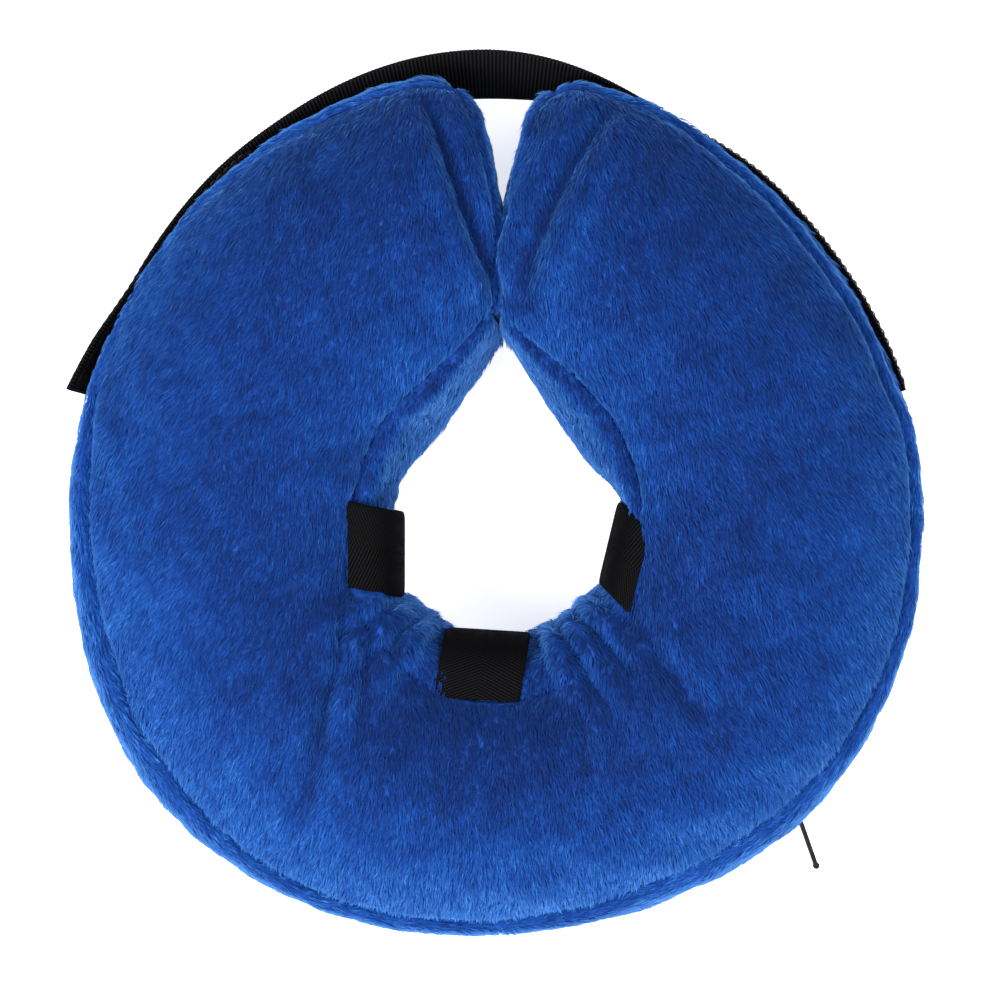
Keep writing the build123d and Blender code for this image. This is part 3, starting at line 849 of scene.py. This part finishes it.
def pile(name, half, panel, count, seed):
    """The plush pile of one panel: bent spindles that lie along the flow, each with painted shade at
    its root.
    They're shaded with the cloth's normal, give or take, so that the pile looks soft."""
    rng = np.random.default_rng(seed)
    root, normal, seam = scatter(half, count, rng)
    free = uncovered(root, panel)
    root, normal, seam = root[free], normal[free], seam[free]
    count = len(root)
    flow = pile_flow(root, normal, panel)
    side = np.cross(normal, flow)
    stray = rng.normal(0, 0.11, count)[:, None]
    straight = flow
    flow = straight * np.cos(stray) + side * np.sin(stray)
    side = side * np.cos(stray) - straight * np.sin(stray)
    length = rng.uniform(3.4, 5.6, count) * (1 + 0.18 * ripple(root, 12, 13))
    length = np.minimum(length, (2.4 + 1.1 * seam) * (1 + hidden_seam(root)))[:, None]
    width = rng.uniform(*PILE_WIDTH[panel], count)[:, None]
    lift = rng.uniform(0.06, 0.24, count)[:, None] * PILE_LIFT[panel]
    lift *= np.where(flattened(root, panel), 0.1, 1)[:, None]
    base = root - flow * length * 0.12 - normal * 0.5
    middle = root + flow * length * 0.42 + normal * length * lift * 0.9
    tip = root + flow * length + normal * length * lift * 1.0
    points = np.stack([
        base,
        middle + side * width / 2,
        middle + normal * width * 0.32,
        middle - side * width / 2,
        tip,
    ], axis=1)
    pattern = np.array([[0, 2, 1], [0, 3, 2], [0, 1, 3], [4, 1, 2], [4, 2, 3], [4, 3, 1]])
    triangles = (pattern[None] + 5 * np.arange(count)[:, None, None]).reshape(-1, 3)
    # Painted light and shade: strands on steeper slopes, and strands that lie down a slope, take
    # paler shades as if lit at a grazing angle. Strands that lie up a slope take darker ones, and
    # the back panel's strands are a step darker.
    lay = flow[:, 2]
    light = 1 + 0.9 * (1 - normal[:, 2].clip(-0.4, 1)) + 2.2 * np.clip(-lay, 0, 1)
    light -= 1.35 * np.clip(lay, 0, 0.6) + (0.35 if panel == "back_panel" else 0)
    level = 1.75 + np.log(light) / math.log(1.45) + rng.normal(0, 0.6, count)
    level += 0.35 * ripple(root, 5, 15) + 0.35 * ripple(root, 26, 16)
    # Painted sheen: the outer band's strands take paler shades, as if seen at a grazing angle.
    if panel == "outer_band":
        level += 1.9
    # Painted shade: strands down in the front panel's folds take darker shades.
    if panel == "front_panel":
        level -= 0.5 * fold_depth(root).clip(-1, 3.5)      # darker down in the folds
    shade = np.clip(np.round(level), 0, len(PILE) - 1).astype(int)
    # Painted shade: each strand's three root faces take the next darker shade, its three tip faces
    # its own.
    shades = np.stack([np.maximum(shade - 1, 0)] * 3 + [shade] * 3, axis=1).ravel()
    piece = make_object(name, points.reshape(-1, 3), triangles, PILE, shades)
    facing = normal + side * rng.normal(0, 0.22, count)[:, None]
    facing = facing + flow * rng.normal(0.1, 0.16, count)[:, None]
    facing = np.stack([facing, facing + side * 0.3, facing, facing - side * 0.3, facing], axis=1)
    facing /= np.linalg.norm(facing, axis=2, keepdims=True)
    piece.data.normals_split_custom_set_from_vertices(facing.reshape(-1, 3))
    return piece


def build_cover():
    """All panels of the cover with their pile, and the bladder inside."""
    halves, whole = split_cover()
    for number, (name, half) in enumerate(halves.items()):
        panel, side = name.rsplit("_", 1)
        cloth = make_object(f"{panel}_cloth_{side}", half[0], half[1], [MATERIALS["backing"]])
        thicken(cloth, CLOTH)
        strands = [pile(f"{panel}_pile_{side}", half, panel, PILE_COUNT[panel], 100 + number)]
        if panel == "front_panel":
            name = f"{panel}_pile_{side}_over"
            strands.append(pile(name, half, panel, PILE_COUNT[panel], 200 + number))
        for piece in (cloth, *strands):
            if panel == "end_panel":
                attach(piece, f"{side}_arm")
            else:
                bend_with(piece)
        nodes = [f"{panel}_{side}"]
        if panel != "end_panel":
            nodes.append(f"{panel}_bottom")
        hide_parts(*nodes)
    build_bladder(*whole)


def build_bladder(vertices, quads, on_right):
    """The inflated bladder, in two halves, a little smaller than the cover that it fills."""
    for side, chosen in (("left", ~on_right), ("right", on_right)):
        used, faces = keep_faces(quads, chosen)
        film = make_object(f"bladder_film_{side}", vertices[used], faces, [MATERIALS["film"]])
        film.modifiers.new("coarser", "DECIMATE").ratio = 0.7
        thicken(film, FILM)
        bend_with(film)
        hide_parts(f"bladder_{side}", "bladder_bottom")


# ---------------------------------------------------------------- webbing

def plain_weave(along, across):
    """Relief of the strap's weave, -1 to 1: ribs across its width."""
    return np.broadcast_to(np.cos(2 * math.pi * along / STRAP_RIB), (len(along), across.shape[1]))


def diagonal_weave(along, across):
    """Relief of the loops' weave, -1 to 1: slanting ribs that change direction midway."""
    return np.cos(2 * math.pi * (along / LOOP_RIB + np.abs(across) * LOOP_SLANT))


def ribbon(name, path, across, width, thickness, material, weave=None, step=0.8):
    """A strip of webbing along a path: a closed mesh with rounded edges and, if asked, a woven
    relief. path and across are rows of points and unit vectors."""
    path = np.asarray(path, float)
    across = np.asarray(across, float)
    ahead = np.gradient(path, axis=0)
    ahead /= np.linalg.norm(ahead, axis=1, keepdims=True)
    path, across, ahead = [
        np.concatenate([row[:1], row, row[-1:]]) for row in (path, across, ahead)
    ]
    out = np.cross(across, ahead)
    out /= np.linalg.norm(out, axis=1, keepdims=True)
    distance = np.concatenate([[0], np.cumsum(np.linalg.norm(np.diff(path, axis=0), axis=1))])
    place = np.sin(np.linspace(-1, 1, int(width / step) + 1) * math.pi / 2)
    place = 0.35 * place + 0.65 * np.linspace(-1, 1, len(place))
    rounding = np.clip(1 - np.abs(place) ** 14, 0, 1) ** 0.5
    ends = np.ones(len(path))
    ends[[0, -1]] = 0
    reach = place * width / 2
    relief = np.zeros((len(path), len(place)))
    if weave:
        relief = weave(distance[:, None], reach[None])
    half = (thickness / 2 + 0.1 * relief) * rounding[None] * ends[:, None]
    edge = reach[None] + 0.2 * relief * place[None] ** 21
    upper = path[:, None] + across[:, None] * edge[..., None] + out[:, None] * half[..., None]
    lower = path[:, None] + across[:, None] * edge[..., None] - out[:, None] * half[..., None]
    loop = np.concatenate([upper, lower[:, -2:0:-1]], axis=1)
    total, around = loop.shape[:2]
    index = np.arange(total * around).reshape(total, around)
    following = np.roll(index, -1, axis=1)
    faces = np.stack([index[:-1], following[:-1], following[1:], index[1:]], axis=-1)
    piece = make_object(name, loop.reshape(-1, 3), faces.reshape(-1, 4), [material])
    piece.data.set_sharp_from_angle(angle=math.radians(50))
    layer = piece.data.uv_layers.new(name="UVMap")
    order = np.empty(len(piece.data.loops), np.int32)
    piece.data.loops.foreach_get("vertex_index", order)
    uv = np.stack([
        np.repeat(distance, around),
        np.tile(np.concatenate([reach, reach[-2:0:-1]]), total),
    ], axis=1)
    layer.data.foreach_set("uv", uv[order].ravel())
    return piece


# The surfaces that webbing lies on: each gives its radius and its lean at an angle.
STRAP = (strap_radius, strap_lean)
TAPE = (tape_radius, tape_lean)


def lay_on(surface, angles, offset):
    """The path of webbing on a surface and the way its width runs, offset outwards."""
    radius, lean = surface[0](angles), surface[1](angles)
    path = np.zeros((len(angles), 3))
    path[:, :2] = RING_CENTRE + (radius + offset * np.cos(lean))[:, None] * direction(angles)
    path[:, 2] = MIDDLE - offset * np.sin(lean)
    across = np.zeros_like(path)
    across[:, :2] = direction(angles) * np.sin(lean)[:, None]
    across[:, 2] = np.cos(lean)
    return path, across


def strap_strip(name, start, stop, offset, width, thickness, material, weave=None):
    """A stretch of the strap, or of something on it, offset outwards from the strap's middle."""
    angles = np.linspace(start, stop, int((stop - start) * DEGREE / STRAP_STEP))
    path, across = lay_on(STRAP, angles, offset)
    return ribbon(name, path, across, width, thickness, material, weave)


def blend_strap(piece):
    """Bakes a stretch of strap's place into its mesh."""
    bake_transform(piece)


# The quads that close the two ends of a stitch: its first or last ring, and the corners.
STITCH_ENDS = (
    (0, (5, 4, 3, 2)), (0, (5, 2, 1, 0)), (4, (0, 1, 2, 3)), (4, (0, 3, 4, 5)),
)


def stitches(name, rows, body, node):
    """Rows of short stitches, each a small bent capsule that dips into the webbing at its ends.
    A row is a function of a share, which gives a point and the way out of the webbing."""
    vertices, faces = [], []
    for row, count in rows:
        for number in range(count):
            shares = (number + np.array([0.08, 0.3, 0.5, 0.7, 0.92])) / count
            lifts = np.array([-0.25, 0.18, 0.26, 0.18, -0.25])
            points, outs = row(shares)
            centres = points + outs * lifts[:, None]
            ahead = np.gradient(centres, axis=0)
            ahead /= np.linalg.norm(ahead, axis=1, keepdims=True)
            beside = np.cross(outs, ahead)
            first = len(vertices)
            for centre, out, across in zip(centres, outs, beside):
                for turn in np.arange(6) * math.pi / 3:
                    vertices.append(centre + 0.24 * (math.cos(turn) * across + math.sin(turn) * out))
            for ring in range(4):
                for side in range(6):
                    a = first + ring * 6 + side
                    b = first + ring * 6 + (side + 1) % 6
                    faces.append((a, b, b + 6, a + 6))
            for ring, order in STITCH_ENDS:
                faces.append(tuple(first + ring * 6 + side for side in order))
    piece = make_object(name, vertices, faces, [MATERIALS["thread"]])
    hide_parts(node)
    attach(piece, body)


def strap_row(start, stop, height, surface):
    """A line along the strap or tape, or with equal angles across it, for stitches."""
    def row(share):
        angle = start + (stop - start) * share
        level = height[0] + (height[1] - height[0]) * share
        radius = surface[0](angle) + STRAP_THICKNESS / 2 + level * np.tan(surface[1](angle))
        points = np.zeros((len(share), 3))
        points[:, :2] = RING_CENTRE + radius[:, None] * direction(angle)
        points[:, 2] = MIDDLE + level
        outs = np.zeros_like(points)
        outs[:, :2] = direction(angle)
        return points, outs
    return row


def box_rows(start, stop, half=12.8, crossed=False, surface=STRAP):
    """Rows of stitches round a stretch of strap, and a cross in it if asked."""
    long_count = int((stop - start) * DEGREE / STITCH_PITCH)
    short_count = int(2 * half / STITCH_PITCH)
    rows = [
        (strap_row(start, stop, (half, half), surface), long_count),
        (strap_row(start, stop, (-half, -half), surface), long_count),
        (strap_row(start, start, (-half, half), surface), short_count),
        (strap_row(stop, stop, (-half, half), surface), short_count),
    ]
    if crossed:
        diagonal = int(math.hypot((stop - start) * DEGREE, 2 * half) / STITCH_PITCH)
        rows.append((strap_row(start, stop, (-half, half), surface), diagonal))
        rows.append((strap_row(start, stop, (half, -half), surface), diagonal))
    return rows


def build_strap():
    """The closing strap, its hook tape and the loop tape it holds on to."""
    webbing = (0, WEBBING_WIDTH, STRAP_THICKNESS, MATERIALS["webbing"], plain_weave)
    first = strap_strip("strap_root", STRAP_START, STRAP_JOIN, *webbing)
    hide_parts("strap_sewn", "strap_bridge")
    blend_strap(first)
    second = strap_strip("strap_tail", STRAP_JOIN, STRAP_TIP, *webbing)
    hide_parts("strap_end")
    blend_strap(second)
    hook = strap_strip(
        "hook_tape_strip", TAPE_START, STRAP_TIP - 0.6, -1.45, 25, 1.1, MATERIALS["fastener"]
    )
    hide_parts("hook_tape")
    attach(hook, "strap_end")
    stitches(
        "strap_stitches",
        box_rows(STRAP_START + 0.8, STRAP_START + 10.5, crossed=True)
        + box_rows(STRAP_START + 10.5, STRAP_HINGE - 1.5),
        "right_arm", "strap_sewn_stitching",
    )
    stitches(
        "hook_tape_stitches", box_rows(TAPE_START + 1, STRAP_TIP - 1.6, half=11.5),
        "strap_end", "hook_tape_stitching",
    )
    stitches(
        "loop_tape_stitches", box_rows(TAPE_START + 1, TAPE_STOP - 1, half=13, surface=TAPE),
        "left_arm", "loop_tape_stitching",
    )

    path, across = lay_on(TAPE, np.linspace(TAPE_START, TAPE_STOP, 150), 0)
    fuzzy = ribbon(
        "loop_tape_strip", path, across, WEBBING_WIDTH, STRAP_THICKNESS, MATERIALS["fastener"]
    )
    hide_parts("loop_tape")
    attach(fuzzy, "left_arm")


def loop_path(loop, share):
    """The middle of a loop, from the front seam over its crest to the back seam."""
    seam = np.array([loop["seam"]])
    top = np.concatenate([seam, [[73.0]]], axis=1)
    foot = np.concatenate([seam, [[11.0]]], axis=1)
    return wall_points(top, foot, np.array([loop["crest"]]), share[:, None])


def loop_row(loop, place):
    """A line of stitches across a loop, at a share of its length."""
    def row(share):
        path = loop_path(loop, np.array([place]))
        side = np.array([*loop["width"], 0.0])
        out = np.cross(side, [0.0, 0.0, 1.0])
        out *= -np.sign(out[:2] @ np.array(loop["crest"]))
        return path + side * ((share - 0.5) * 27)[:, None] + out * 0.7, np.tile(out, (len(share), 1))
    return row


def build_loops():
    """The three webbing loops of the neck opening, from seam to seam."""
    share = np.linspace(0, 1, 230)
    for name, loop in LOOPS.items():
        path = loop_path(loop, share)
        side = np.array([*loop["width"], 0.0])
        side /= np.linalg.norm(side)
        strip = ribbon(
            f"collar_loop_{name}_strip", path, np.tile(side, (len(path), 1)), WEBBING_WIDTH,
            LOOP_THICKNESS, MATERIALS["loop_webbing"], diagonal_weave,
        )
        body = "bottom" if name == "bottom" else f"{name}_arm"
        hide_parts(f"collar_loop_{name}")
        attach(strip, body)
        stitches(
            f"collar_loop_{name}_stitches",
            [(loop_row(loop, place), 9) for place in LOOP_SEWN],
            body, f"collar_loop_{name}_stitching",
        )


# ---------------------------------------------------------------- carried-over parts

def finish_cad():
    """Materials for the CAD parts that stay in view."""
    looks = {
        "valve": "vinyl", "zipper_tape": "zip_tape", "zipper_coil": "coil", "zipper": "enamel",
    }
    for name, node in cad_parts.items():
        for start, look in looks.items():
            if name.startswith(start):
                node.data.materials.clear()
                node.data.materials.append(MATERIALS[look])
                break


# ---------------------------------------------------------------- stage

FLOOR_HALF = 6000.0
FLOOR_LEVEL = -1.5            # the lowest fur sinks into the floor
# Each light's place in metres, its size and its power in watts.
LIGHTS = {
    "key": ((-0.9, -0.35, 1.25), 0.9, 24.0),
    "fill": ((0.8, 0.2, 1.35), 1.2, 12.0),
    "front": ((-0.1, -1.0, 1.0), 1.0, 10.0),
}
AIM = (0.0, 0.0, 0.04)
CAMERA_PLACE = (-0.0032, 0.0142, 1.442)
LENS = 142


def build_stage():
    """A pale floor, soft studio light and the camera."""
    floor_material = mottled(
        "pale_floor", (0.93, 0.93, 0.93), (0.95, 0.95, 0.95), 2.0, 0.9,
        Emission_Color=(1, 1, 1, 1), Emission_Strength=0.65,
    )
    corners = [(-1, -1), (1, -1), (1, 1), (-1, 1)]
    floor = make_object(
        "floor",
        [(x * FLOOR_HALF, y * FLOOR_HALF, FLOOR_LEVEL) for x, y in corners],
        [(0, 1, 2, 3)],
        [floor_material],
    )
    world = bpy.data.worlds.new("studio")
    world.use_nodes = True
    world.node_tree.nodes["Background"].inputs["Color"].default_value = (1, 1, 1, 1)
    world.node_tree.nodes["Background"].inputs["Strength"].default_value = 0.55
    bpy.context.scene.world = world
    for name, (place, size, power) in LIGHTS.items():
        light = bpy.data.lights.new(name, "AREA")
        light.shape = "DISK"
        light.size = size
        light.energy = power
        lamp = bpy.data.objects.new(name, light)
        lamp.location = place
        aim = np.array(AIM) - np.array(place)
        lamp.rotation_euler = (
            math.atan2(math.hypot(aim[0], aim[1]), -aim[2]),
            0,
            math.atan2(aim[0], -aim[1]) + math.pi,
        )
        bpy.context.scene.collection.objects.link(lamp)
    camera_data = bpy.data.cameras.new("camera")
    camera_data.lens = LENS
    camera = bpy.data.objects.new("camera", camera_data)
    camera.location = CAMERA_PLACE
    bpy.context.scene.collection.objects.link(camera)
    bpy.context.scene.camera = camera
    bpy.context.scene.view_settings.view_transform = "Standard"


build_stage()
build_cover()
build_strap()
build_loops()
finish_cad()
